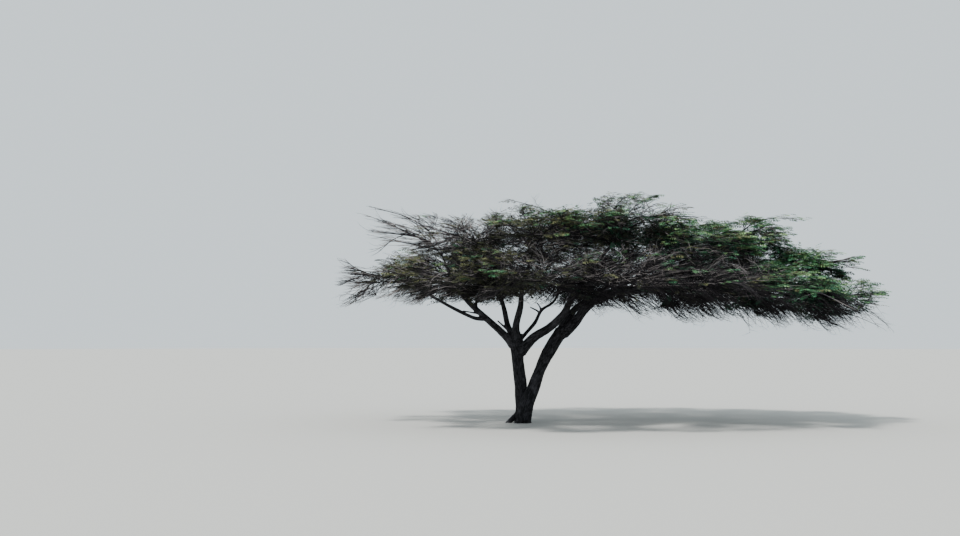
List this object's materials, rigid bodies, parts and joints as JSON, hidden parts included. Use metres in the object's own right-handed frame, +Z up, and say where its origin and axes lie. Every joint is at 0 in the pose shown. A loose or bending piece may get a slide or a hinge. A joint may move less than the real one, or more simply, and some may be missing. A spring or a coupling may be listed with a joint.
{
  "type": "divi-divi tree",
  "caption": "Wind-shaped tree: two stems from one flared foot, forking boughs, and a wide flat crown of fine twigs and leaf sprays that streams to one side.",
  "frame": {"origin": "middle of the flat cut where the foot of the trunk meets level ground", "axes": "+Z up, +X the way the wind has pushed the crown, +Y away from the camera of the picture"},
  "size_m": [13.0285, 8.692, 5.3626],
  "materials": {
    "bark": "rough dark grey-brown bark",
    "bare_crown": "grey-brown twigs with few leaves",
    "leafy_crown": "olive green leaf sprays on twigs"
  },
  "bodies": {
    "root": {"trunk_foot": "bark", "stem_windward": "bark", "stem_leeward": "bark", "bough_windward_top": "bark", "bough_windward_tip": "bark", "bough_windward_top_back": "bark", "bough_middle_top_front": "bark", "bough_middle_heart": "bark", "bough_peak_front": "bark", "bough_peak_back": "bark", "bough_lee_tip": "bark", "bough_windward_low_front": "bark", "bough_windward_low_back": "bark", "bough_windward_low_middle": "bark", "bough_windward_top_front": "bark", "bough_middle_low_front": "bark", "bough_middle_low_back": "bark", "bough_middle_top_back": "bark", "bough_peak_windward": "bark", "bough_lee_low_front": "bark", "bough_lee_low_back": "bark", "bough_lee_heart": "bark", "bough_lee_middle_front": "bark", "bough_lee_middle_back": "bark", "bough_lee_middle": "bark", "bough_lee_top_front": "bark", "bough_lee_top_back": "bark", "bough_lee_top_far": "bark", "bough_lee_far_front": "bark", "bough_lee_far_back": "bark", "bough_lee_far_top": "bark", "crown_windward_top": "bare_crown", "crown_windward_tip": "leafy_crown", "crown_windward_top_back": "leafy_crown", "crown_middle_top_front": "leafy_crown", "crown_middle_heart": "leafy_crown", "crown_peak_front": "leafy_crown", "crown_peak_back": "leafy_crown", "crown_lee_tip": "leafy_crown", "crown_windward_low_front": "leafy_crown", "crown_windward_low_back": "leafy_crown", "crown_windward_low_middle": "leafy_crown", "crown_windward_top_front": "bare_crown", "crown_middle_low_front": "leafy_crown", "crown_middle_low_back": "leafy_crown", "crown_middle_top_back": "leafy_crown", "crown_peak_windward": "leafy_crown", "crown_lee_low_front": "leafy_crown", "crown_lee_low_back": "leafy_crown", "crown_lee_heart": "leafy_crown", "crown_lee_middle_front": "leafy_crown", "crown_lee_middle_back": "leafy_crown", "crown_lee_middle": "leafy_crown", "crown_lee_top_front": "leafy_crown", "crown_lee_top_back": "leafy_crown", "crown_lee_top_far": "leafy_crown", "crown_lee_far_front": "leafy_crown", "crown_lee_far_back": "leafy_crown", "crown_lee_far_top": "leafy_crown"}
  },
  "joints": []
}
